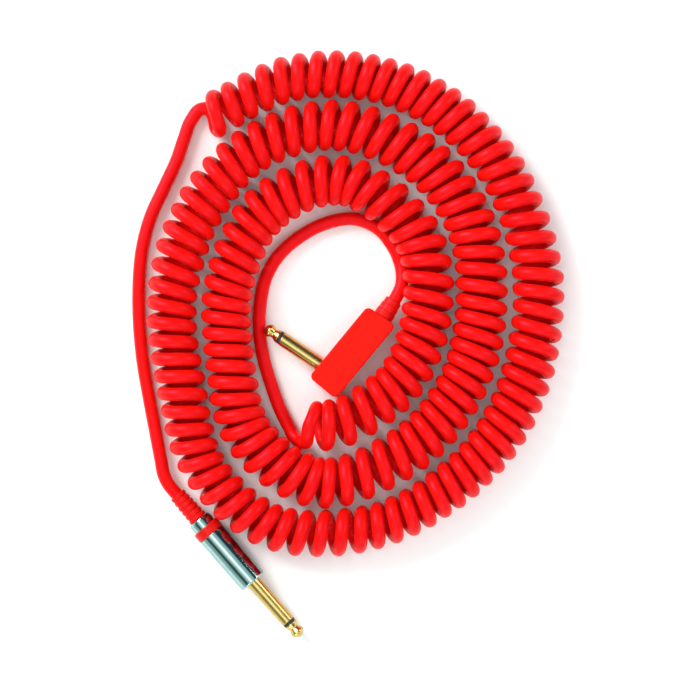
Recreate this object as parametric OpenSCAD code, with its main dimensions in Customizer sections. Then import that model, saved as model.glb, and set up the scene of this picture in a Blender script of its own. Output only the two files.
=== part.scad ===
// Coiled instrument cable: a curly cord laid in a flat spiral, with a straight
// 6.35 mm mono plug on its outer end and a right-angle 6.35 mm mono plug on
// its inner end.
// Millimetres, +Z up. The origin is on the surface the cable lies on, under
// the middle of the right-angle plug's flat body.

/* [Cord] */
// Outer diameter of the cord's jacket
cord_d = 6; // [5.4:0.1:6]
// Height of the coiled part, over the outside of the turns
coil_h = 22; // [20:0.5:22]

/* [Plug shafts] */
// Diameter of the plug shafts
shaft_d = 6.35; // [6.30:0.01:6.35]
// Length of the sleeve contact in front of the threaded body
sleeve_len = 24; // [23.4:0.1:24.4]
// Width of the insulating ring behind the tip
ring_len = 1.4; // [1:0.1:1.8]
// Length of the tip contact in front of the insulating ring
tip_len = 7.2; // [7:0.1:7.6]
// Diameter of the tip rod that runs back through the sleeve
rod_d = 2.4; // [2:0.1:2.4]

/* [Straight plug] */
// Outer diameter of the screw-on barrel
barrel_d = 12.9; // [12.6:0.1:13]
// Length of the barrel from its front face to the colour ring
barrel_len = 28.6; // [28.2:0.1:28.8]
// Outer diameter of the colour ring
colour_ring_d = 13.2; // [13:0.1:13.2]
// Length of the colour ring
colour_ring_len = 4.4; // [4:0.1:4.4]
// Outer diameter of the rear collar
collar_d = 11; // [10.6:0.1:11.4]
// Length of the rear collar
collar_len = 4.4; // [4:0.1:4.4]
// Length of the ribbed strain relief behind the collar
boot_len = 14.5; // [13:0.5:14.5]
// Depth of the grooves between the strain relief's ribs
rib_depth = 0.3; // [0.2:0.05:0.3]

/* [Right-angle plug] */
// Length of the flat body
body_len = 42; // [42:0.5:43]
// Width of the flat body
body_w = 15.4; // [15.2:0.1:16]
// Thickness of the flat body
body_h = 14; // [14:0.1:14]
// Radius of the flat body's upright corners
body_r = 2.5; // [2:0.5:3]
// Lean of the shaft, the cord and the cord's end from square to the long sides
body_skew = 5.5; // [3:0.5:6]
// Length of the strain relief outside the flat body
angle_boot_len = 9; // [8:0.5:9]

/* [Hidden] */
$fn = 48;

cord_r = cord_d / 2;
shaft_r = shaft_d / 2;
rod_r = rod_d / 2;
bore_r = 2.1;                    // bore of the sleeve contact
neck_r = 3;                      // neck of the right-angle plug's shaft
gap = 0.05;                      // assembly clearance on the radius

// Straight plug: front face of the barrel, direction of the tip, axis height
plug_x = -44.6;
plug_y = -103.5;
plug_z = 6.6;
plug_dir = -48.8;
thread_r = 5.3;                  // outside of the threaded body
liner_r = 5.35;
ring_a = barrel_len + colour_ring_len;
collar_a = ring_a + collar_len;
boot_a = collar_a + 0.1 + boot_len;

// Right-angle plug: direction of the long side, shaft and cord positions
angle_dir = 50.5;
angle_z = body_h / 2;
shaft_u = -13.5;                 // shaft axis along the body, at its side
shaft_in = 3;                    // depth of the sleeve's foot in the body
cord_v = -0.7;                   // cord axis across the body, at its end
half_u = body_len / 2;
half_v = body_w / 2;

// Coil route: x, y and the width of the turns, one row every 5 turns of the
// cord. The first and last rows only set the directions at the ends.
coil_turns = 155;
coil_route = [
    [-99, 84, 19],
    [-65, 105, 20], [-28, 123, 20.4], [10, 123, 21], [43, 108, 21.4],
    [69, 79, 21.2], [83, 39, 22.4], [81, -1, 23], [67, -36, 22.6],
    [42, -62, 21.2], [8, -79, 20.4], [-35, -79, 20.6], [-66, -53, 20.4],
    [-77, -15, 21.8], [-81, 24, 22.2], [-70, 62, 22.8], [-45, 91, 21.8],
    [-7, 102, 22.6], [31, 87, 23], [54, 56, 22.8], [58, 18, 23],
    [49, -16, 23], [25, -44, 23], [-14, -59, 22.6], [-46, -38, 23],
    [-55, -3, 21.8], [-55, 32, 22.2], [-38, 65, 22.6], [-3, 77, 22.4],
    [29.5, 52, 22.2], [33, 13, 22.4], [16, -19, 22], [-21, -31.8, 20.6],
    [-48, 26, 20.6]
];
coil_sides = 12;
coil_rings = 44;

// Point of a straight plug's axis, a mm in front of the barrel's front face
function plug_pt(a) = [plug_x + a * cos(plug_dir), plug_y + a * sin(plug_dir), plug_z];
// Point of the cord's axis in the right-angle plug, u mm along it; the body
// ends at u = half_u
function angle_pt(u) = [
    half_u * cos(angle_dir) - cord_v * sin(angle_dir) + (u - half_u) * cos(angle_dir + body_skew),
    half_u * sin(angle_dir) + cord_v * cos(angle_dir) + (u - half_u) * sin(angle_dir + body_skew),
    angle_z];

// Points of the outer lead after the straight plug: x, y, z of its axis
outer_free = [
    [-84.9, -55.5, 6.2], [-86.4, -48.2, 5.4], [-88.8, -36, 4.1],
    [-91.9, -20, 3.1], [-94.6, -4, 3], [-96.2, 13, 3], [-96.4, 30, 3],
    [-95, 46, 3], [-91.3, 60.5, 3], [-85.2, 74, 3], [-79.6, 86, 3],
    [-75.8, 97, 3], [-72.8, 104.7, 3]
];
// Points of the inner lead from the coil to the right-angle plug
inner_free = [
    [-29.2, -32.4, 3], [-32.9, -25, 3], [-36.6, -14.5, 3], [-40, -3, 3],
    [-41.9, 9.5, 3], [-41.5, 22, 3], [-39, 33.5, 3], [-33.3, 43.5, 3],
    [-24.5, 51.5, 3], [-13, 57.8, 3], [0, 60.3, 3], [11.2, 56.3, 3],
    [18.4, 48, 3], [22, 39.4, 3.6], [22.6, 31.4, 5.6]
];
lead_sides = 10;

// ---- curves -------------------------------------------------------------

// Smooth curve through the rows of p, at u = 0 .. len(p) - 3
function curve(p, u) =
    let(i = min(floor(u), len(p) - 4), f = u - i,
        a = p[i], b = p[i + 1], c = p[i + 2], d = p[i + 3])
    0.5 * (2 * b + (c - a) * f + (2 * a - 5 * b + 4 * c - d) * f * f
           + (3 * b - a - 3 * c + d) * f * f * f);
function flat(v) = [v.x, v.y, 0];
function unit(v) = v / norm(v);
// Direction of the curve at u, level with the floor
function level_dir(p, u) =
    unit(flat(curve(p, min(u + 0.01, len(p) - 3)) - curve(p, max(u - 0.01, 0))));
function along(p, u) =
    let(q = curve(p, min(u + 0.01, len(p) - 3)) - curve(p, max(u - 0.01, 0)))
    unit([q.x, q.y, q.z]);

// Ends of the coil, on the side of the turns that the leads leave from
coil_end = len(coil_route) - 3;
function coil_side(u, s) =
    let(q = curve(coil_route, u), t = level_dir(coil_route, u))
    [q.x - s * t.y, q.y + s * t.x, 3];
start_dir = level_dir(coil_route, 0);
end_dir = level_dir(coil_route, coil_end);

outer_route = concat(
    [plug_pt(-8), plug_pt(-25), plug_pt(-41), plug_pt(-50), plug_pt(-57)],
    outer_free,
    [coil_side(0, 5), coil_side(0, 1) + 6 * start_dir]);
inner_route = concat(
    [coil_side(coil_end, 6) - 6 * end_dir, coil_side(coil_end, 6)],
    inner_free,
    [angle_pt(32), angle_pt(23), angle_pt(8), angle_pt(-7)]);

// Closed skin over rings of points
module skin(rings) {
    n = len(rings);
    k = len(rings[0]);
    pts = [for (r = rings) for (q = r) q];
    polyhedron(pts, concat(
        [[for (j = [0:k - 1]) j]],
        [for (i = [0:n - 2]) for (j = [0:k - 1])
            [i * k + j, (i + 1) * k + j, (i + 1) * k + (j + 1) % k]],
        [for (i = [0:n - 2]) for (j = [0:k - 1])
            [i * k + j, (i + 1) * k + (j + 1) % k, i * k + (j + 1) % k]],
        [[for (j = [0:k - 1]) (n - 1) * k + k - 1 - j]]));
}

// Ring of a round cord: c centre, t direction
function cord_ring(c, t, r, k) =
    let(s = unit(cross([0, 0, 1], t)), up = cross(t, s))
    [for (j = [0:k - 1]) c + r * (cos(360 * j / k) * s + sin(360 * j / k) * up)];

module cord(route) {
    skin([for (u = [0:len(route) - 3])
        cord_ring(curve(route, u), along(route, u), cord_r, lead_sides)]);
}

// ---- placing ------------------------------------------------------------

// z runs along the straight plug to its tip, from the barrel's front face
module at_straight() {
    translate([plug_x, plug_y, plug_z]) rotate([0, 0, plug_dir])
        rotate([0, 90, 0]) children();
}
// x runs along the flat body to the cord, y to the shaft's side
module at_body() { rotate([0, 0, angle_dir]) children(); }
// z runs along the right-angle plug's shaft, from the body's side
module at_shaft() {
    at_body() translate([shaft_u, half_v, angle_z]) rotate([0, 0, body_skew])
        rotate([-90, 0, 0]) children();
}
// z runs along the cord out of the flat body, which ends at z = half_u
module at_cord() {
    at_body() translate([half_u, cord_v, angle_z]) rotate([0, 0, body_skew])
        rotate([0, 90, 0]) translate([0, 0, -half_u]) children();
}

module tube(r_out, r_in, z0, z1) {
    translate([0, 0, z0]) difference() {
        cylinder(r = r_out, h = z1 - z0);
        translate([0, 0, -1]) cylinder(r = r_in, h = z1 - z0 + 2);
    }
}
module bar(x0, x1, w, z0, z1) {
    translate([x0, -w / 2, z0]) cube([x1 - x0, w, z1 - z0]);
}
// Round wire between two points
module wire(p, q, r) {
    v = q - p;
    translate(p) rotate([0, acos(v.z / norm(v)), atan2(v.y, v.x)])
        cylinder(r = r, h = norm(v), $fn = 24);
}

// ---- plug contacts ------------------------------------------------------

// Tip with its rod; back is how far the rod reaches behind the shoulder
module tip(back) {
    f = sleeve_len + ring_len;
    rotate_extrude() polygon([
        [0, -back - 0.7], [1.4, -back - 0.7], [1.9, -back - 0.3], [1.9, -back],
        [rod_r, -back], [rod_r, f], [2.95, f], [2.95, f + 0.5], [2.15, f + 2.2],
        [2.15, f + 2.8], [3.1, f + 4.6], [3.1, f + 5.3], [1.6, f + tip_len - 0.4],
        [1, f + tip_len], [0, f + tip_len]]);
}
// Insulating tube with the ring that shows between sleeve and tip
module insulator(back) {
    rotate_extrude() polygon([
        [rod_r + gap, -back], [bore_r - gap, -back], [bore_r - gap, sleeve_len],
        [3, sleeve_len], [3, sleeve_len + ring_len],
        [rod_r + gap, sleeve_len + ring_len]]);
}

// ---- straight plug ------------------------------------------------------

module tip_contact() { color("gold") at_straight() tip(12); }

module front_insulator() { color("black") at_straight() insulator(9); }

module sleeve_contact() {
    color("gold") at_straight() difference() {
        union() {
            cylinder(r = shaft_r, h = sleeve_len);
            translate([0, 0, -9]) cylinder(r = thread_r, h = 9);
        }
        translate([0, 0, -10]) cylinder(r = bore_r, h = sleeve_len + 11);
    }
}

// Earth lug behind the threaded body, with the clamp that grips the jacket
module ground_clamp() {
    color("silver") at_straight() {
        tube(4.7, 2.3, -9.6, -9);
        difference() {
            bar(3.9, 4.6, 3.2, -31, -9);
            translate([0, 0, -9.6]) cylinder(r = 3.9, h = 1);
        }
        difference() {
            tube(3.6, cord_r + gap, -31, -26);
            translate([-6.2, -5, -32]) cube([5, 10, 7]);
        }
        bar(3.4, 4.6, 3.2, -31, -26);
    }
}

module rear_insulator() { color("black") at_straight() tube(3.8, rod_r + gap, -11.4, -9.6); }

module tip_terminal() {
    color("silver") at_straight() {
        tube(3.2, rod_r + gap, -12, -11.4);
        bar(-3.4, -2, 3, -12, -11.4);
        bar(-3.4, -2.8, 3, -19, -11.4);
    }
}

module insulating_liner() {
    color("white") at_straight() tube(liner_r, 5, -30.8, -10);
}

module barrel_shell() {
    r = barrel_d / 2;
    color("silver") at_straight() rotate_extrude(convexity = 4) polygon([
        [5.4, 0], [r - 0.5, 0], [r, -0.5], [r, -barrel_len],
        [5.9, -barrel_len], [5.9, -ring_a], [5.4, -ring_a]]);
}

module colour_ring() {
    r = colour_ring_d / 2;
    color("red") at_straight() rotate_extrude(convexity = 4) polygon([
        [5.92, -barrel_len], [r - 0.4, -barrel_len], [r, -barrel_len - 0.4],
        [r, -ring_a + 0.4], [r - 0.4, -ring_a], [5.92, -ring_a]]);
}

module rear_collar() {
    r = collar_d / 2;
    color("silver") at_straight() rotate_extrude(convexity = 4) polygon([
        [4.05, -ring_a], [r, -ring_a], [r, -collar_a + 0.4],
        [r - 0.4, -collar_a], [4.05, -collar_a]]);
}

// Flange held by the collar, then a tapering ribbed tail
module strain_relief_boot() {
    a0 = collar_a + 0.1;
    pitch = boot_len / 5.6;
    color("red") at_straight() difference() {
        union() {
            translate([0, 0, -ring_a + 0.1]) cylinder(r = 5.2, h = 1.7);
            translate([0, 0, -a0]) cylinder(r = 3.95, h = collar_len + 1);
            difference() {
                translate([0, 0, -boot_a]) cylinder(r1 = 3.85, r2 = 4.3, h = boot_len);
                for (i = [1:5])
                    tube(6, 4.25 - 0.08 * i - rib_depth, -a0 - pitch * i, -a0 - pitch * i + 1);
            }
        }
        translate([0, 0, -boot_a - 1]) cylinder(r = 3.3, h = boot_a);
    }
}

module core_wire() { color("white") at_straight() wire([0, 0, -25], [-1.65, 0, -18.3], 1.1); }

module shield_tail() { color("chocolate") at_straight() wire([1.9, 0, -25], [3.25, 0, -19.5], 0.7); }

module solder_joints() {
    color("lightgrey") at_straight() {
        translate([-2.2, 0, -17.6]) sphere(r = 1.1, $fn = 24);
        translate([3.4, 0, -19]) sphere(r = 0.95, $fn = 24);
    }
}

// ---- right-angle plug ---------------------------------------------------

module angle_tip_contact() {
    color("gold") at_shaft() translate([0, 0, -shaft_in]) tip(6.8 - shaft_in);
}

module angle_front_insulator() {
    color("black") at_shaft() translate([0, 0, -shaft_in]) insulator(3.6 - shaft_in);
}

module angle_sleeve_contact() {
    color("gold") at_shaft() difference() {
        union() {
            translate([0, 0, 0.4]) cylinder(r = shaft_r, h = sleeve_len - shaft_in - 0.4);
            translate([0, 0, -3]) cylinder(r = neck_r, h = 4);
            translate([0, 0, -3.6]) cylinder(r = 4.6, h = 1.2);
        }
        translate([0, 0, -5]) cylinder(r = bore_r, h = sleeve_len + 6);
    }
}

module angle_ground_lug() {
    color("silver") at_shaft() {
        tube(4.6, 2.3, -4.2, -3.6);
        bar(4, 12.4, 3, -4.2, -3.6);
    }
}

module angle_rear_insulator() { color("black") at_shaft() tube(4.2, rod_r + gap, -6.2, -4.2); }

module angle_tip_terminal() {
    color("silver") at_shaft() {
        tube(3.2, rod_r + gap, -6.8, -6.2);
        bar(2.6, 9.2, 2.8, -6.8, -6.2);
    }
}

// Four-sided outline with rounded corners; the cord's end leans, the other is square
module body_outline() {
    v = half_v - body_r;
    m = half_u - body_r / cos(body_skew);
    k = v * tan(body_skew);
    b = half_u - body_r;
    c = [[m + k, -v], [m - k, v], [-b, v], [-b, -v]];
    n = [[cos(body_skew), sin(body_skew)], [0, 1], [-1, 0], [0, -1]];
    polygon([for (i = [0:3]) for (q = [c[i], c[(i + 1) % 4]]) q + body_r * n[i]]);
    for (q = c) translate(q) circle(r = body_r);
}

// One moulded body round the contacts, the wires and the end of the cord
module angle_housing() {
    color("red") difference() {
        at_body() linear_extrude(body_h) body_outline();
        at_shaft() {
            translate([0, 0, -7.9]) cylinder(r = 4.7, h = 5.5);
            translate([0, 0, -3]) cylinder(r = neck_r + gap, h = 5);
        }
        at_body() translate([-14, -3.3, angle_z - 1.8]) cube([23, 8.8, 3.6]);
        at_cord() {
            translate([0, 0, 7.5]) cylinder(r = 3.6, h = 9);
            translate([0, 0, 16.3]) cylinder(r = 4.75, h = 1.9);
            translate([0, 0, 18]) cylinder(r = 4.05, h = 5);
        }
    }
}

// Stepped sleeve that keeps the cord from kinking at the body
module angle_boot() {
    e = half_u + angle_boot_len;
    color("red") at_cord() difference() {
        rotate_extrude(convexity = 4) polygon([
            [0, 16.4], [4.7, 16.4], [4.7, 18.1], [4, 18.1], [4, half_u + 0.15],
            [4.5, half_u + 0.15], [4.5, half_u + 3], [4.2, half_u + 3.4],
            [4.2, half_u + 6], [3.9, half_u + 6.4], [3.9, e - 0.3], [3.7, e], [0, e]]);
        translate([0, 0, 10]) cylinder(r = 3.4, h = 40);
    }
}

module angle_ferrule() { color("silver") at_cord() tube(3.55, cord_r + gap, 9.2, 15.2); }

module angle_core_wire() {
    color("white") at_body() translate([0, 0, angle_z]) wire([8, -1.9, 0], [-2, 0.7, 0], 1.1);
}

module angle_shield_tail() {
    color("chocolate") at_body() translate([0, 0, angle_z]) wire([8, 0.1, 0], [-0.7, 3.8, 0], 0.7);
}

module angle_solder_joints() {
    color("lightgrey") at_shaft() {
        translate([9.6, 0, -7.3]) sphere(r = 1.1, $fn = 24);
        translate([11.6, 0, -4.7]) sphere(r = 0.95, $fn = 24);
    }
}

// ---- cord ---------------------------------------------------------------

module outer_lead() {
    color("red") cord(outer_route);
}

// Outer shape of the turns; its rings lie closer where the spiral is tighter
module curly_cord() {
    color("red") skin([for (i = [0:coil_rings - 1])
        let(f = i / (coil_rings - 1), u = coil_end * f * (1.25 - 0.25 * f),
            q = curve(coil_route, u),
            t = level_dir(coil_route, u), s = [-t.y, t.x, 0])
        [for (j = [0:coil_sides - 1])
            [q.x, q.y, coil_h / 2] + q.z / 2 * cos(360 * j / coil_sides) * s
            + coil_h / 2 * sin(360 * j / coil_sides) * [0, 0, 1]]]);
}

module inner_lead() {
    color("red") cord(inner_route);
}

tip_contact();
front_insulator();
sleeve_contact();
ground_clamp();
rear_insulator();
tip_terminal();
insulating_liner();
barrel_shell();
colour_ring();
rear_collar();
strain_relief_boot();
core_wire();
shield_tail();
solder_joints();
angle_tip_contact();
angle_front_insulator();
angle_sleeve_contact();
angle_ground_lug();
angle_rear_insulator();
angle_tip_terminal();
angle_housing();
angle_boot();
angle_ferrule();
angle_core_wire();
angle_shield_tail();
angle_solder_joints();
outer_lead();
curly_cord();
inner_lead();
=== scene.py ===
# Coiled instrument cable: the looks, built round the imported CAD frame.
# Lengths in the tables are millimetres, in the frame of the CAD model; every
# mesh is made in metres.
import math

import bmesh
import bpy
import numpy as np
from mathutils import Matrix, Vector


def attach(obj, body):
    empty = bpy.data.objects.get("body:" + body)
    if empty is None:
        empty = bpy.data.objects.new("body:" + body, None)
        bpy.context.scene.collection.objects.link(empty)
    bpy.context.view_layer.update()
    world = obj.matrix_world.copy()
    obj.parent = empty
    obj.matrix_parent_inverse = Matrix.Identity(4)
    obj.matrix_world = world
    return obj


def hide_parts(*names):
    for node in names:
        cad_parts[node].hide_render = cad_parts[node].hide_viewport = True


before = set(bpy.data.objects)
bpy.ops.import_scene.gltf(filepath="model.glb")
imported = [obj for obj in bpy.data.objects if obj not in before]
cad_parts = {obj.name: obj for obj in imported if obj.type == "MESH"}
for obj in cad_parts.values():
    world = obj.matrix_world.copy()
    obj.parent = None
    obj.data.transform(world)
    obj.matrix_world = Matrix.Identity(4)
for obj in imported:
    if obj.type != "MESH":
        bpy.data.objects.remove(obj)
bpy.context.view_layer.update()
scene = bpy.context.scene
MM = 0.001

# ---------------------------------------------------------------- camera ----

cam_data = bpy.data.cameras.new("camera")
cam_data.sensor_width = 36
cam_data.lens = 160
cam_data.clip_start = 0.05
cam_data.clip_end = 20
cam = bpy.data.objects.new("camera", cam_data)
cam.location = (-0.0009, 0.0009, 1.411)
cam.rotation_euler = (0, 0, 0)
scene.collection.objects.link(cam)
scene.camera = cam

# ------------------------------------------------- dimensions of the part ----

CORD_R = 3.0
COIL_H = 22.0
COIL_TURNS = 155

PLUG = np.array([-44.6, -103.5, 6.6])
PLUG_DIR = math.radians(-48.8)
SLEEVE_LEN, RING_LEN, TIP_LEN = 24.0, 1.4, 7.2
BARREL_R, BARREL_LEN = 6.45, 28.6
RING_R, RING_A = 6.6, 33.0
COLLAR_R, COLLAR_A = 5.5, 37.4
BOOT_A = 52.0

BODY_DIR = math.radians(50.5)
BODY_SKEW = math.radians(5.5)
BODY_Z = 7.0
SHAFT_U, SHAFT_IN = -13.5, 3.0
CORD_V = -0.7
HALF_U, HALF_V, BODY_H, BODY_R = 21.0, 7.7, 14.0, 2.5

COIL_ROUTE = np.array([
    [-99, 84, 19],
    [-65, 105, 20], [-28, 123, 20.4], [10, 123, 21], [43, 108, 21.4],
    [69, 79, 21.2], [83, 39, 22.4], [81, -1, 23], [67, -36, 22.6],
    [42, -62, 21.2], [8, -79, 20.4], [-35, -79, 20.6], [-66, -53, 20.4],
    [-77, -15, 21.8], [-81, 24, 22.2], [-70, 62, 22.8], [-45, 91, 21.8],
    [-7, 102, 22.6], [31, 87, 23], [54, 56, 22.8], [58, 18, 23],
    [49, -16, 23], [25, -44, 23], [-14, -59, 22.6], [-46, -38, 23],
    [-55, -3, 21.8], [-55, 32, 22.2], [-38, 65, 22.6], [-3, 77, 22.4],
    [29.5, 52, 22.2], [33, 13, 22.4], [16, -19, 22], [-21, -31.8, 20.6],
    [-48, 26, 20.6]], float)
OUTER_FREE = [
    [-84.9, -55.5, 6.2], [-86.4, -48.2, 5.4], [-88.8, -36, 4.1],
    [-91.9, -20, 3.1], [-94.6, -4, 3], [-96.2, 13, 3], [-96.4, 30, 3],
    [-95, 46, 3], [-91.3, 60.5, 3], [-85.2, 74, 3], [-79.6, 86, 3],
    [-75.8, 97, 3], [-72.8, 104.7, 3]]
INNER_FREE = [
    [-29.2, -32.4, 3], [-32.9, -25, 3], [-36.6, -14.5, 3], [-40, -3, 3],
    [-41.9, 9.5, 3], [-41.5, 22, 3], [-39, 33.5, 3], [-33.3, 43.5, 3],
    [-24.5, 51.5, 3], [-13, 57.8, 3], [0, 60.3, 3], [11.2, 56.3, 3],
    [18.4, 48, 3], [22, 39.4, 3.6], [22.6, 31.4, 5.6]]


def plug_pt(a):
    return PLUG + a * np.array([math.cos(PLUG_DIR), math.sin(PLUG_DIR), 0])


def angle_pt(u):
    c, s = math.cos(BODY_DIR), math.sin(BODY_DIR)
    return np.array([HALF_U * c - CORD_V * s + (u - HALF_U) * math.cos(BODY_DIR + BODY_SKEW),
                     HALF_U * s + CORD_V * c + (u - HALF_U) * math.sin(BODY_DIR + BODY_SKEW), BODY_Z])


def curve(p, u):
    """Smooth curve through the rows of p, at u = 0 .. len(p) - 3."""
    i = min(int(math.floor(u)), len(p) - 4)
    f = u - i
    a, b, c, d = p[i], p[i + 1], p[i + 2], p[i + 3]
    return 0.5 * (2 * b + (c - a) * f + (2 * a - 5 * b + 4 * c - d) * f * f
                  + (3 * b - a - 3 * c + d) * f ** 3)


def level_dir(p, u):
    q = (curve(p, min(u + 0.01, len(p) - 3)) - curve(p, max(u - 0.01, 0)))[:2]
    return q / np.linalg.norm(q)


def coil_side(u, s):
    q, t = curve(COIL_ROUTE, u), level_dir(COIL_ROUTE, u)
    return np.array([q[0] - s * t[1], q[1] + s * t[0], 3.0])


COIL_END = len(COIL_ROUTE) - 3
start_dir = np.append(level_dir(COIL_ROUTE, 0), 0)
end_dir = np.append(level_dir(COIL_ROUTE, COIL_END), 0)
OUTER_ROUTE = np.array([plug_pt(-8), plug_pt(-25), plug_pt(-41), plug_pt(-50), plug_pt(-57)]
                       + [np.array(p, float) for p in OUTER_FREE]
                       + [coil_side(0, 5), coil_side(0, 1) + 6 * start_dir])
INNER_ROUTE = np.array([coil_side(COIL_END, 6) - 6 * end_dir, coil_side(COIL_END, 6)]
                       + [np.array(p, float) for p in INNER_FREE]
                       + [angle_pt(32), angle_pt(23), angle_pt(8), angle_pt(-7)])

# ------------------------------------------------------------------ cord ----


def smooth_noise(seed, n):
    """A slow wave of about unit height, one value a turn, the same each run."""
    r = np.random.default_rng(seed).uniform(-1, 1, n + 4)
    return lambda t: float(np.interp(t + 1, np.arange(n + 4), r))


lean = smooth_noise(3, COIL_TURNS)
swell = smooth_noise(4, COIL_TURNS)
lift = smooth_noise(5, COIL_TURNS)


T_END = 155.0


def helix(t):
    """Centre of the cord after t turns of the coil."""
    u = t / 5.0
    q, d = curve(COIL_ROUTE, u), level_dir(COIL_ROUTE, u)
    n = np.array([-d[1], d[0]])
    first = math.exp(-((t - 1.0) / 0.35) ** 2)      # the first bottom strand makes room for the lead
    late = min(1.0, max(0.0, (t - 150) / 4)) * min(1.0, max(0.0, (T_END - t) / 1.2))
    wide = min(1.0, max(0.0, (t - 153.6) / 0.65))   # the last turn opens towards the inner lead
    half = q[2] / 2 - CORD_R + 0.4 + 0.2 * swell(t) + 0.9 * late
    rise = COIL_H / 2 - CORD_R
    a = 2 * math.pi * t
    xy = (q[:2] - half * math.sin(a) * n + (0.25 * lean(t) * math.sin(a / 2) ** 2 + 1.7 * first
             + 1.4 * wide * wide * (3 - 2 * wide)) * d
          - 0.9 * late * n)
    z = COIL_H / 2 - rise * math.cos(a) - 0.2 * (1 + lift(t)) * math.sin(a / 2) ** 2
    return np.array([xy[0], xy[1], z])


def through(points, n):
    """n points a segment on a smooth curve through the points, the ends only steer."""
    p = np.array(points, float)
    return np.array([curve(p, u) for u in np.linspace(0, len(p) - 3, n * (len(p) - 3) + 1)])


STEPS = 24
last = len(OUTER_ROUTE) - 3
lead_a = np.array([curve(OUTER_ROUTE, u) for u in np.linspace(0, last - 1, 14 * (last - 1) + 1)])
T_IN, T_OUT = 0.14, 154.5
coil = np.array([helix(t) for t in np.linspace(T_IN, T_OUT, int((T_OUT - T_IN) * STEPS) + 1)])
p0, p1 = lead_a[-1], coil[0]
v0 = lead_a[-1] - lead_a[-2]
v1 = coil[1] - coil[0]
under = through([lead_a[-1] - 8 * v0 / np.linalg.norm(v0), lead_a[-1],
                 [-69.6, 109.2, 3.0], [-65.6, 110.0, 3.0], [-62.9, 107.0, 3.0],
                 coil[0], coil[0] + 6 * v1 / np.linalg.norm(v1)], 8)[1:-1]
ve = coil[-1] - coil[-2]
down = through([coil[-1] - 7 * ve / np.linalg.norm(ve), coil[-1],
                [-19.9, -37.2, 17.4], [-20.6, -40.5, 12.3], [-23.0, -40.2, 6.8],
                [-26.1, -38.2, 4.1], [-28.5, -34.0, 3.0], [-32.9, -25, 3.0],
                [-36.6, -14.5, 3.0]], 8)[1:-1]
lead_b = np.array([curve(INNER_ROUTE, u) for u in
                   np.linspace(2, len(INNER_ROUTE) - 3, 14 * (len(INNER_ROUTE) - 5) + 1)])
path = np.concatenate([lead_a, under, coil, down, lead_b])


path[:, 2] = np.maximum(path[:, 2], CORD_R)


def new_object(name, bm, smooth=True, sharp=None):
    bmesh.ops.recalc_face_normals(bm, faces=bm.faces)
    me = bpy.data.meshes.new(name)
    bm.to_mesh(me)
    bm.free()
    if smooth:
        me.shade_smooth()
        if sharp is not None:
            me.set_sharp_from_angle(angle=math.radians(sharp))
    ob = bpy.data.objects.new(name, me)
    scene.collection.objects.link(ob)
    return ob


def tube_mesh(name, line, r, sides):
    """A closed round tube round the line, with frames carried along it."""
    t = np.gradient(line, axis=0)
    t /= np.linalg.norm(t, axis=1)[:, None]
    n = np.cross(t[0], [0, 0, 1.0])
    n /= np.linalg.norm(n)
    co, faces = [], []
    ang = np.linspace(0, 2 * math.pi, sides, endpoint=False)
    for i in range(len(line)):
        n = n - t[i] * (n @ t[i])
        n /= np.linalg.norm(n)
        b = np.cross(t[i], n)
        co.append(line[i] + r * (np.cos(ang)[:, None] * n + np.sin(ang)[:, None] * b))
    co = np.concatenate(co) * MM
    k = sides
    for i in range(len(line) - 1):
        for j in range(k):
            faces.append((i * k + j, i * k + (j + 1) % k, (i + 1) * k + (j + 1) % k, (i + 1) * k + j))
    faces.append(tuple(reversed(range(k))))
    faces.append(tuple((len(line) - 1) * k + j for j in range(k)))
    me = bpy.data.meshes.new(name)
    me.from_pydata([tuple(c) for c in co], [], faces)
    me.update()
    me.shade_smooth()
    me.set_sharp_from_angle(angle=math.radians(60))
    ob = bpy.data.objects.new(name, me)
    scene.collection.objects.link(ob)
    return ob


cord = tube_mesh("cord_jacket", path, CORD_R, 18)
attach(cord, "cable")
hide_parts("outer_lead", "curly_cord", "inner_lead")

# ------------------------------------------------------------- materials ----


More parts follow.
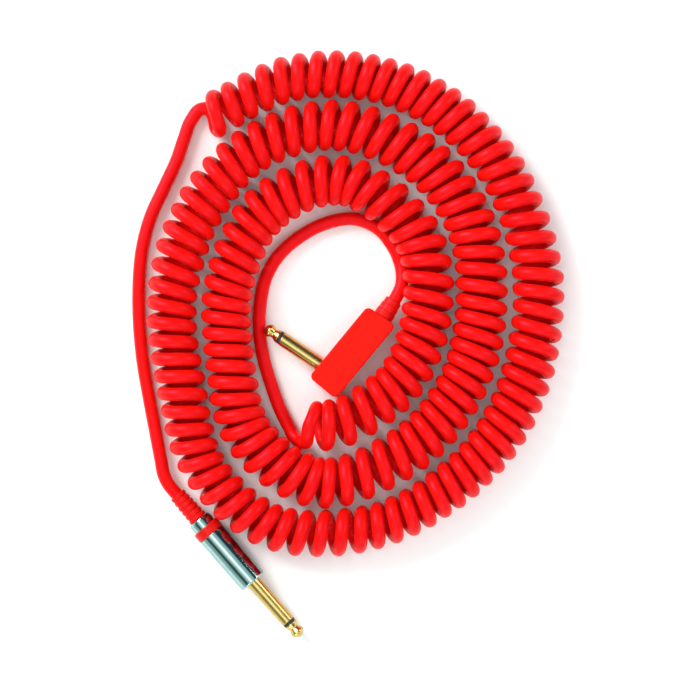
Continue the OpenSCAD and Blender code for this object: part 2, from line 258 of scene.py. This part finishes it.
def material(name, low, high, rough, metallic=0.0, specular=0.5, tint=None, grain=900.0,
             bump=0.25, bump_mm=0.05, fine=4000.0, turned=0.0, coat=0.0, coat_rough=0.1,
             anisotropic=0.0, ior=1.5, subsurface=0.0, transmission=0.0):
    """Procedural finish: two close tones mixed by noise, noisy roughness, fine bump.

    low, high   the two tones
    rough       lowest and highest roughness
    grain       scale of the tone noise; fine, of the surface's own grain
    turned      strength of turning marks, rings round the piece's own z axis
    """
    m = bpy.data.materials.new(name)
    m.use_nodes = True
    nt = m.node_tree
    n, l = nt.nodes, nt.links
    sh = n["Principled BSDF"]
    sh.inputs["Metallic"].default_value = metallic
    sh.inputs["Specular IOR Level"].default_value = specular
    sh.inputs["IOR"].default_value = ior
    if tint:
        sh.inputs["Specular Tint"].default_value = (*tint, 1)
    sh.inputs["Coat Weight"].default_value = coat
    sh.inputs["Coat Roughness"].default_value = coat_rough
    sh.inputs["Anisotropic"].default_value = anisotropic
    sh.inputs["Transmission Weight"].default_value = transmission
    if subsurface:
        sh.inputs["Subsurface Weight"].default_value = subsurface
        sh.inputs["Subsurface Scale"].default_value = 0.001
    tc = n.new("ShaderNodeTexCoord")

    def noise(scale, detail=3.0, roughness=0.5, stretch=None):
        x = n.new("ShaderNodeTexNoise")
        x.inputs["Scale"].default_value = scale
        x.inputs["Detail"].default_value = detail
        x.inputs["Roughness"].default_value = roughness
        if stretch:
            mp = n.new("ShaderNodeMapping")
            mp.inputs["Scale"].default_value = stretch
            l.new(tc.outputs["Object"], mp.inputs["Vector"])
            l.new(mp.outputs["Vector"], x.inputs["Vector"])
        else:
            l.new(tc.outputs["Object"], x.inputs["Vector"])
        return x

    tone = noise(grain)
    mix = n.new("ShaderNodeMix")
    mix.data_type = "RGBA"
    mix.inputs["A"].default_value = (*low, 1)
    mix.inputs["B"].default_value = (*high, 1)
    ramp = n.new("ShaderNodeMapRange")
    ramp.inputs["From Min"].default_value = 0.3
    ramp.inputs["From Max"].default_value = 0.7
    l.new(tone.outputs["Fac"], ramp.inputs["Value"])
    l.new(ramp.outputs["Result"], mix.inputs["Factor"])
    l.new(mix.outputs["Result"], sh.inputs["Base Color"])
    rn = noise(grain * 2.3, 4.0, 0.6)
    rr = n.new("ShaderNodeMapRange")
    rr.inputs["From Min"].default_value = 0.3
    rr.inputs["From Max"].default_value = 0.7
    rr.inputs["To Min"].default_value = rough[0]
    rr.inputs["To Max"].default_value = rough[1]
    l.new(rn.outputs["Fac"], rr.inputs["Value"])
    l.new(rr.outputs["Result"], sh.inputs["Roughness"])
    bn = noise(fine, 2.0)
    b1 = n.new("ShaderNodeBump")
    b1.inputs["Strength"].default_value = bump
    b1.inputs["Distance"].default_value = bump_mm * MM
    l.new(bn.outputs["Fac"], b1.inputs["Height"])
    out = b1
    if turned:
        tn = noise(1.0, 3.0, 0.6, stretch=(30.0, 30.0, 9000.0))
        b2 = n.new("ShaderNodeBump")
        b2.inputs["Strength"].default_value = turned
        b2.inputs["Distance"].default_value = 0.02 * MM
        l.new(tn.outputs["Fac"], b2.inputs["Height"])
        l.new(b1.outputs["Normal"], b2.inputs["Normal"])
        out = b2
    l.new(out.outputs["Normal"], sh.inputs["Normal"])
    return m


M = {
    "jacket": material("jacket_red_pvc", (0.70, 0.0035, 0.0018), (0.80, 0.0055, 0.0026), (0.34, 0.44),
                       specular=0.26, tint=(1.0, 0.25, 0.5), grain=160, bump=0.35, bump_mm=0.03, fine=2600),
    "boot": material("boot_red_pvc", (0.62, 0.0040, 0.0024), (0.70, 0.0060, 0.0030), (0.40, 0.50),
                     specular=0.3, tint=(1.0, 0.4, 0.5), grain=300, bump=0.4, bump_mm=0.03, fine=3000),
    "body": material("body_red_moulding", (0.68, 0.0065, 0.0028), (0.80, 0.0090, 0.0036), (0.50, 0.64),
                     specular=0.16, tint=(1.0, 0.4, 0.4), grain=260, bump=0.6, bump_mm=0.04, fine=1800),
    "ring": material("ring_red_plastic", (0.55, 0.0050, 0.0030), (0.63, 0.0070, 0.0035), (0.28, 0.36),
                     specular=0.4, tint=(1.0, 0.5, 0.5), grain=300, bump=0.25, bump_mm=0.02, fine=3000, turned=0.1),
    "gold": material("gold_plate", (0.66, 0.45, 0.14), (0.74, 0.52, 0.19), (0.20, 0.28), metallic=1.0,
                     tint=(0.55, 0.50, 0.38), grain=500, bump=0.06, bump_mm=0.01, fine=5000, turned=0.35),
    "chrome": material("chrome_plate", (0.36, 0.52, 0.50), (0.43, 0.59, 0.57), (0.09, 0.14), metallic=1.0,
                       tint=(0.55, 0.70, 0.70), grain=220, bump=0.05, bump_mm=0.01, fine=4000, turned=0.12),
    "nickel": material("nickel_plate", (0.66, 0.64, 0.60), (0.74, 0.72, 0.68), (0.22, 0.34), metallic=1.0,
                       grain=500, bump=0.2, bump_mm=0.01, fine=4000),
    "black": material("black_plastic", (0.010, 0.012, 0.012), (0.022, 0.026, 0.025), (0.30, 0.42),
                      specular=0.5, grain=700, bump=0.3, bump_mm=0.02, fine=4000, turned=0.15),
    "liner": material("liner_fish_paper", (0.62, 0.63, 0.60), (0.74, 0.75, 0.72), (0.45, 0.60),
                      grain=300, bump=0.5, bump_mm=0.03, fine=2500),
    "wire": material("wire_insulation", (0.70, 0.70, 0.67), (0.80, 0.80, 0.77), (0.35, 0.45),
                     grain=600, bump=0.3, bump_mm=0.02, fine=3000),
    "braid": material("copper_braid", (0.45, 0.19, 0.09), (0.62, 0.29, 0.15), (0.28, 0.42), metallic=1.0,
                      grain=2500, bump=1.0, bump_mm=0.12, fine=3200),
    "solder": material("solder_tin", (0.50, 0.50, 0.52), (0.66, 0.66, 0.68), (0.18, 0.36), metallic=1.0,
                       grain=900, bump=0.5, bump_mm=0.04, fine=1500),
}


def finish(ob, mat):
    ob.data.materials.clear()
    ob.data.materials.append(M[mat])
    return ob


finish(cord, "jacket")

# ---------------------------------------------------------- lathe pieces ----


def rounded(profile, closed=False, steps=6):
    """The corners (r, z, fillet) of a profile with each corner rounded."""
    pts = [np.array(p[:2], float) for p in profile]
    rad = [p[2] if len(p) > 2 else 0.0 for p in profile]
    out, n = [], len(pts)
    for i in range(n):
        if rad[i] <= 0 or (not closed and i in (0, n - 1)):
            out.append(tuple(pts[i]))
            continue
        a, b = pts[i - 1] - pts[i], pts[(i + 1) % n] - pts[i]
        la, lb = np.linalg.norm(a), np.linalg.norm(b)
        a, b = a / la, b / lb
        ang = math.acos(max(-1, min(1, float(a @ b))))
        if ang > math.pi - 0.02:
            out.append(tuple(pts[i]))
            continue
        d = min(rad[i] / math.tan(ang / 2), 0.48 * la, 0.48 * lb)
        r = d * math.tan(ang / 2)
        mid = (a + b) / np.linalg.norm(a + b)
        c = pts[i] + mid * (r / math.sin(ang / 2))
        s, e = pts[i] + a * d - c, pts[i] + b * d - c
        turn = math.acos(max(-1, min(1, float(s @ e) / r ** 2)))
        for k in range(steps + 1):
            f = k / steps
            q = (math.sin((1 - f) * turn) * s + math.sin(f * turn) * e) / math.sin(turn)
            out.append(tuple(c + q))
    return out


def lathe(name, profile, place, closed=False, seg=96, steps=6, shape=None, sharp=32):
    """Turns a profile of (r, z, fillet) corners round z. shape(angle, r, z) may change r."""
    pts = rounded(profile, closed, steps)
    bm = bmesh.new()
    rings = []
    for r, z in pts:
        if r < 1e-6:
            rings.append([bm.verts.new((0, 0, z * MM))])
        else:
            ring = []
            for k in range(seg):
                a = 2 * math.pi * k / seg
                rr = shape(a, r, z) if shape else r
                ring.append(bm.verts.new((rr * math.cos(a) * MM, rr * math.sin(a) * MM, z * MM)))
            rings.append(ring)
    pairs = list(zip(rings, rings[1:])) + ([(rings[-1], rings[0])] if closed else [])
    for a, b in pairs:
        for k in range(seg):
            q = [a[k % len(a)], a[(k + 1) % len(a)], b[(k + 1) % len(b)], b[k % len(b)]]
            f = []
            for v in q:
                if v not in f:
                    f.append(v)
            if len(f) > 2:
                bm.faces.new(f)
    ob = new_object(name, bm, sharp=sharp)
    ob.matrix_world = place
    return ob


AT_STRAIGHT = (Matrix.Translation(Vector(PLUG * MM)) @ Matrix.Rotation(PLUG_DIR, 4, "Z")
               @ Matrix.Rotation(math.radians(90), 4, "Y"))
AT_BODY = Matrix.Rotation(BODY_DIR, 4, "Z")
LEAN = Matrix.Rotation(BODY_SKEW, 4, "Z")
TO_SHAFT = (Matrix.Translation((SHAFT_U * MM, HALF_V * MM, BODY_Z * MM)) @ LEAN
            @ Matrix.Rotation(math.radians(-90), 4, "X"))
TO_CORD = (Matrix.Translation((HALF_U * MM, CORD_V * MM, BODY_Z * MM)) @ LEAN
           @ Matrix.Rotation(math.radians(90), 4, "Y") @ Matrix.Translation((0, 0, -HALF_U * MM)))
AT_SHAFT = AT_BODY @ TO_SHAFT
AT_SLEEVE = AT_SHAFT @ Matrix.Translation((0, 0, -SHAFT_IN * MM))
AT_CORD = AT_BODY @ TO_CORD


def place(ob, node, body, mat, slot):
    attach(ob, body)
    if node:
        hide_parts(node)
    return finish(ob, mat)


def tip(name, node, at, back):
    f = SLEEVE_LEN + RING_LEN
    ob = lathe(name, [
        (0, -back - 0.75), (1.2, -back - 0.75, 0.5), (1.9, -back - 0.35, 0.25), (1.9, -back, 0.05),
        (1.2, -back, 0.03), (1.2, f, 0.05), (2.95, f, 0.12), (2.95, f + 0.5, 0.3), (2.12, f + 2.1, 0.7),
        (2.12, f + 2.75, 0.8), (3.12, f + 4.5, 0.7), (3.12, f + 5.2, 0.9), (1.7, f + 6.7, 0.8),
        (0.9, f + TIP_LEN, 0.5), (0, f + TIP_LEN)], at, seg=96, steps=8, sharp=50)
    return place(ob, node, "cable", "gold", "gold_plate")


def insulator(name, node, at, back):
    ob = lathe(name, [
        (1.25, -back), (2.05, -back, 0.1), (2.05, SLEEVE_LEN, 0), (3.0, SLEEVE_LEN, 0.08),
        (3.0, SLEEVE_LEN + RING_LEN, 0.12), (1.25, SLEEVE_LEN + RING_LEN)],
        at, closed=True)
    return place(ob, node, "cable", "black", "black_plastic")


THREAD_PITCH = 1.0


def threaded(a, r, z):
    """A right-hand thread on the body, run out at both ends."""
    if z > -0.35 or z < -8.7 or r < 4:
        return r
    f = (z / THREAD_PITCH + a / (2 * math.pi)) % 1.0
    wave = abs(2 * f - 1)
    depth = 0.5 * min(1.0, (-0.35 - z) / 0.5, (z + 8.7) / 0.4)
    return r - depth * (1 - min(1.0, max(0.0, 1.35 * wave - 0.1)))


thread_rows = [(5.3, -0.3 - 0.1 * k) for k in range(86)]
sleeve = lathe("straight_sleeve", [
    (2.1, -9), (2.1, SLEEVE_LEN, 0.1), (2.95, SLEEVE_LEN, 0.12), (3.175, SLEEVE_LEN - 0.25, 0.15),
    (3.175, 0.0, 0.2), (5.3, 0.0, 0.2), (5.3, -0.25)]
    + thread_rows + [(5.3, -8.9), (5.0, -9.0)], AT_STRAIGHT, closed=True, shape=threaded, steps=5)
place(sleeve, "sleeve_contact", "cable", "gold", "gold_plate")
tip("straight_tip", "tip_contact", AT_STRAIGHT, 12)
insulator("straight_insulator", "front_insulator", AT_STRAIGHT, 9)

barrel = lathe("barrel", [
    (5.4, 0), (5.75, 0.0, 0.15), (BARREL_R - 0.45, -0.0, 0.3), (BARREL_R, -0.5, 0.5),
    (BARREL_R, -BARREL_LEN + 0.15, 0.15), (BARREL_R - 0.2, -BARREL_LEN, 0.05), (5.9, -BARREL_LEN),
    (5.9, -RING_A), (5.4, -RING_A)], AT_STRAIGHT, closed=True, seg=128)
place(barrel, "barrel_shell", "barrel", "chrome", "chrome_barrel")
ring = lathe("colour_band", [
    (5.93, -BARREL_LEN - 0.02), (RING_R - 0.2, -BARREL_LEN - 0.02, 0.2), (RING_R, -BARREL_LEN - 0.5, 0.4),
    (RING_R, -RING_A + 0.5, 0.4), (RING_R - 0.2, -RING_A + 0.02, 0.2), (5.93, -RING_A + 0.02)],
    AT_STRAIGHT, closed=True, seg=128)
place(ring, "colour_ring", "barrel", "ring", "red_ring")
collar = lathe("rear_cap", [
    (4.05, -RING_A), (COLLAR_R, -RING_A, 0.1), (COLLAR_R, -RING_A - 3.0, 0.6), (COLLAR_R - 0.35, -COLLAR_A + 0.25, 0.5),
    (COLLAR_R - 0.8, -COLLAR_A, 0.25), (4.05, -COLLAR_A)], AT_STRAIGHT, closed=True, seg=128)
place(collar, "rear_collar", "barrel", "chrome", "chrome_barrel")


def boot_profile():
    """Flange in the collar, neck, five soft ribs on a taper, and the rear lip."""
    a0 = COLLAR_A + 0.1
    pitch = (BOOT_A - a0) / 5.6
    rows = [(3.3, -RING_A + 1.8), (5.2, -RING_A + 1.8, 0.15), (5.2, -RING_A + 0.1, 0.15), (3.95, -RING_A + 0.1, 0.1),
            (3.95, -a0, 0.08)]
    for i in range(1, 6):
        top = -a0 - pitch * (i - 1)
        r0 = 4.3 - 0.45 * ((top + a0) / -(BOOT_A - a0))
        groove0 = -a0 - pitch * i + 1.0
        groove1 = -a0 - pitch * i
        r1 = 4.3 - 0.45 * ((groove0 + a0) / -(BOOT_A - a0))
        rg = 4.25 - 0.08 * i - 0.3
        rows += [(r0, top, 0.35), (r1, groove0, 0.35), (rg, groove0 - 0.15, 0.15), (rg, groove1 + 0.15, 0.15)]
    end0 = -a0 - pitch * 5
    rows += [(4.3 - 0.45 * ((end0 + a0) / -(BOOT_A - a0)), end0, 0.35), (3.88, -BOOT_A + 0.3, 0.3),
             (3.65, -BOOT_A, 0.25), (3.3, -BOOT_A, 0.1)]
    return rows


boot = lathe("straight_boot", boot_profile(), AT_STRAIGHT, closed=True, seg=96, steps=5, sharp=60)
place(boot, "strain_relief_boot", "boot", "boot", "red_boot")

# -------------------------------------------------- right-angle plug ----

tip("angle_tip", "angle_tip_contact", AT_SLEEVE, 3.8)
insulator("angle_insulator", "angle_front_insulator", AT_SLEEVE, 0.6)
own = SLEEVE_LEN - SHAFT_IN
angle_sleeve = lathe("angle_sleeve", [
    (2.1, -3.6), (2.1, own, 0.1), (2.95, own, 0.12), (3.175, own - 0.25, 0.15),
    (3.175, 0.4, 0.15), (3.0, 0.4), (3.0, -2.4, 0.1), (4.6, -2.4, 0.1), (4.6, -3.6, 0.1)],
    AT_SHAFT, closed=True)
place(angle_sleeve, "angle_sleeve_contact", "cable", "gold", "gold_plate")
e = HALF_U + 9
angle_boot = lathe("angle_boot_ribbed", [
    (3.4, 16.4), (4.7, 16.4, 0.15), (4.7, 18.1, 0.15), (4.0, 18.1), (4.0, HALF_U + 0.15),
    (4.5, HALF_U + 0.15, 0.15), (4.5, HALF_U + 3, 0.35), (4.2, HALF_U + 3.4, 0.2),
    (4.2, HALF_U + 6, 0.35), (3.9, HALF_U + 6.4, 0.2), (3.9, e - 0.3, 0.25), (3.7, e, 0.2), (3.4, e, 0.1)],
    AT_CORD, closed=True, steps=5, sharp=60)
place(angle_boot, "angle_boot", "cable", "boot", "red_boot")


def outline(r, n=10):
    """Four-sided outline, leaning at the cord's end; r is the radius of its corners, and a
    smaller r draws the whole outline in."""
    v = HALF_V - BODY_R
    m, k = HALF_U - BODY_R / math.cos(BODY_SKEW), v * math.tan(BODY_SKEW)
    b = HALF_U - BODY_R
    lean_deg = math.degrees(BODY_SKEW)
    pts = []
    for cx, cy, a0, a1 in ((m + k, -v, -90, lean_deg), (m - k, v, lean_deg, 90),
                           (-b, v, 90, 180), (-b, -v, 180, 270)):
        for i in range(n + 1):
            a = math.radians(a0 + (a1 - a0) * i / n)
            pts.append((cx + r * math.cos(a), cy + r * math.sin(a)))
    return pts


def block(name):
    """Moulded body: rounded upright corners, softened rims and a fine parting line."""
    rim, steps = 0.9, 6
    rows = []
    for k in range(steps + 1):
        a = math.radians(90 * k / steps)
        rows.append((rim * (1 - math.sin(a)), rim * (1 - math.cos(a))))
    rows += [(0.0, 4.0), (0.0, 6.86), (-0.07, 6.94), (-0.09, 7.0), (-0.07, 7.06), (0.0, 7.14), (0.0, 10.0)]
    for k in range(steps + 1):
        a = math.radians(90 * k / steps)
        rows.append((rim * (1 - math.cos(a)), BODY_H - rim * (1 - math.sin(a))))
    bm = bmesh.new()
    rings = []
    for inset, z in rows:
        rings.append([bm.verts.new((x * MM, y * MM, z * MM))
                      for x, y in outline(BODY_R - inset)])
    n = len(rings[0])
    for a, b in zip(rings, rings[1:]):
        for k in range(n):
            bm.faces.new((a[k], a[(k + 1) % n], b[(k + 1) % n], b[k]))
    bm.faces.new(list(reversed(rings[0])))
    bm.faces.new(rings[-1])
    ob = new_object(name, bm, sharp=35)
    return ob


def cutter(parts):
    """One mesh of separate closed solids to take away from another piece."""
    bm = bmesh.new()
    for kind, place_at, size in parts:
        if kind == "cyl":
            r, z0, z1 = size
            got = bmesh.ops.create_cone(bm, cap_ends=True, segments=64, radius1=r * MM, radius2=r * MM,
                                        depth=(z1 - z0) * MM)
            bmesh.ops.transform(bm, matrix=place_at @ Matrix.Translation((0, 0, (z0 + z1) / 2 * MM)), verts=got["verts"])
        else:
            (x0, y0, z0), (x1, y1, z1) = size
            got = bmesh.ops.create_cube(bm, size=1)
            s = Matrix.Diagonal(((x1 - x0) * MM, (y1 - y0) * MM, (z1 - z0) * MM, 1))
            t = Matrix.Translation(((x0 + x1) / 2 * MM, (y0 + y1) / 2 * MM, (z0 + z1) / 2 * MM))
            bmesh.ops.transform(bm, matrix=place_at @ t @ s, verts=got["verts"])
    return new_object("cutter", bm, smooth=False)


def carve(ob, parts):
    """Takes each solid away, one at a time, and keeps the result in the mesh."""
    for part in parts:
        c = cutter([part])
        mod = ob.modifiers.new("carve", "BOOLEAN")
        mod.operation = "DIFFERENCE"
        mod.solver = "EXACT"
        mod.object = c
        dg = bpy.context.evaluated_depsgraph_get()
        done = bpy.data.meshes.new_from_object(ob.evaluated_get(dg))
        ob.modifiers.clear()
        old = ob.data
        ob.data = done
        bpy.data.meshes.remove(old)
        bpy.data.objects.remove(c)
    ob.data.shade_smooth()
    ob.data.set_sharp_from_angle(angle=math.radians(35))


housing = block("angle_body")
carve(housing, [
    ("box", Matrix.Identity(4), ((-14, -3.3, BODY_Z - 1.8), (9, 5.5, BODY_Z + 1.8))),
    ("cyl", TO_SHAFT, (4.7, -7.9, -2.4)),
    ("cyl", TO_SHAFT, (3.05, -3, 2)),
    ("cyl", TO_CORD, (3.6, 7.5, 16.5)),
    ("cyl", TO_CORD, (4.75, 16.3, 18.2)),
    ("cyl", TO_CORD, (4.05, 18, 23)),
])
housing.matrix_world = AT_BODY
place(housing, "angle_housing", "cable", "body", "red_body")
for m_ob in (housing,):
    w = m_ob.modifiers.new("weighted", "WEIGHTED_NORMAL")
    w.keep_sharp = True

# ---------------------------------- inner CAD parts: finish, not shape ----

for name, mat in {
    "ground_clamp": "nickel", "rear_insulator": "black", "tip_terminal": "nickel", "insulating_liner": "liner",
    "core_wire": "wire", "shield_tail": "braid", "solder_joints": "solder",
    "angle_ground_lug": "nickel", "angle_rear_insulator": "black", "angle_tip_terminal": "nickel",
    "angle_ferrule": "nickel", "angle_core_wire": "wire", "angle_shield_tail": "braid",
    "angle_solder_joints": "solder",
}.items():
    finish(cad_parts[name], mat)

# ----------------------------------------------------- floor and lights ----

bm = bmesh.new()
bmesh.ops.create_grid(bm, x_segments=1, y_segments=1, size=6)
floor = new_object("floor", bm, smooth=False)
floor.location.z = -0.0002
fm = bpy.data.materials.new("floor_white")
fm.use_nodes = True
fs = fm.node_tree.nodes["Principled BSDF"]
fs.inputs["Base Color"].default_value = (0.93, 0.93, 0.93, 1)
fs.inputs["Roughness"].default_value = 0.9
fs.inputs["Specular IOR Level"].default_value = 0.1
floor.data.materials.append(fm)

world = bpy.data.worlds.new("studio")
scene.world = world
world.use_nodes = True
wn, wl = world.node_tree.nodes, world.node_tree.links
bg = wn["Background"]
bg.inputs["Strength"].default_value = 1.0
wt = wn.new("ShaderNodeTexCoord")
sep = wn.new("ShaderNodeSeparateXYZ")
wl.new(wt.outputs["Generated"], sep.inputs["Vector"])
dot = wn.new("ShaderNodeVectorMath")
dot.operation = "DOT_PRODUCT"
dot.inputs[1].default_value = (0.752, 0.659, 0.0)
wl.new(wt.outputs["Generated"], dot.inputs[0])
at2 = wn.new("ShaderNodeMath")
at2.operation = "ARCTAN2"
wl.new(dot.outputs["Value"], at2.inputs[0])
wl.new(sep.outputs["Z"], at2.inputs[1])
# 0 is the horizon on the upper left, 0.5 overhead, 1 the horizon on the lower right
wr = wn.new("ShaderNodeMapRange")
wr.inputs["From Min"].default_value = -math.pi / 2
wr.inputs["From Max"].default_value = math.pi / 2
wl.new(at2.outputs["Value"], wr.inputs["Value"])
sky = wn.new("ShaderNodeValToRGB")
stops = [(0.0, (0.60, 0.72, 0.71)), (0.14, (0.45, 0.60, 0.58)), (0.20, (0.05, 0.10, 0.09)),
         (0.27, (0.05, 0.10, 0.09)), (0.34, (0.7, 0.85, 0.83)), (0.40, (1.0, 1.1, 1.1)),
         (0.43, (2.4, 2.4, 2.4)), (0.48, (2.4, 2.4, 2.4)), (0.52, (0.7, 0.9, 0.9)),
         (0.62, (0.5, 0.72, 0.72)), (0.68, (0.03, 0.03, 0.05)), (0.85, (0.05, 0.05, 0.07)),
         (1.0, (0.25, 0.26, 0.28))]
ramp_el = sky.color_ramp.elements
ramp_el[0].position, ramp_el[1].position = stops[0][0], stops[-1][0]
ramp_el[0].color, ramp_el[1].color = (*stops[0][1], 1), (*stops[-1][1], 1)
for pos, col in stops[1:-1]:
    ramp_el.new(pos).color = (*col, 1)
wl.new(wr.outputs["Result"], sky.inputs["Fac"])
# near the horizon the sky is one pale tone all round, so a low view has a plain backdrop
low = wn.new("ShaderNodeMapRange")
low.inputs["From Min"].default_value = 0.13
low.inputs["From Max"].default_value = 0.24
wl.new(sep.outputs["Z"], low.inputs["Value"])
tone = wn.new("ShaderNodeMixRGB")
tone.inputs["Color1"].default_value = (0.72, 0.78, 0.78, 1)
wl.new(low.outputs["Result"], tone.inputs["Fac"])
wl.new(sky.outputs["Color"], tone.inputs["Color2"])
wl.new(tone.outputs["Color"], bg.inputs["Color"])


def area(name, at, target, size, power, colour=(1, 1, 1)):
    d = bpy.data.lights.new(name, "AREA")
    d.shape = "RECTANGLE"
    d.size, d.size_y = size
    d.energy = power
    d.color = colour
    o = bpy.data.objects.new(name, d)
    o.location = at
    o.rotation_euler = (Vector(target) - Vector(at)).to_track_quat("-Z", "Y").to_euler()
    scene.collection.objects.link(o)
    return o


area("key", (-1.1, 1.0, 1.0), (0, 0, 0), (1.0, 1.0), 34)
area("fill_right", (1.3, 0.3, 0.8), (0, 0, 0), (0.8, 0.8), 9)
area("fill_front", (-0.1, -1.4, 0.8), (0, 0, 0), (0.8, 0.8), 9)

scene.view_settings.view_transform = "Standard"
scene.view_settings.look = "None"
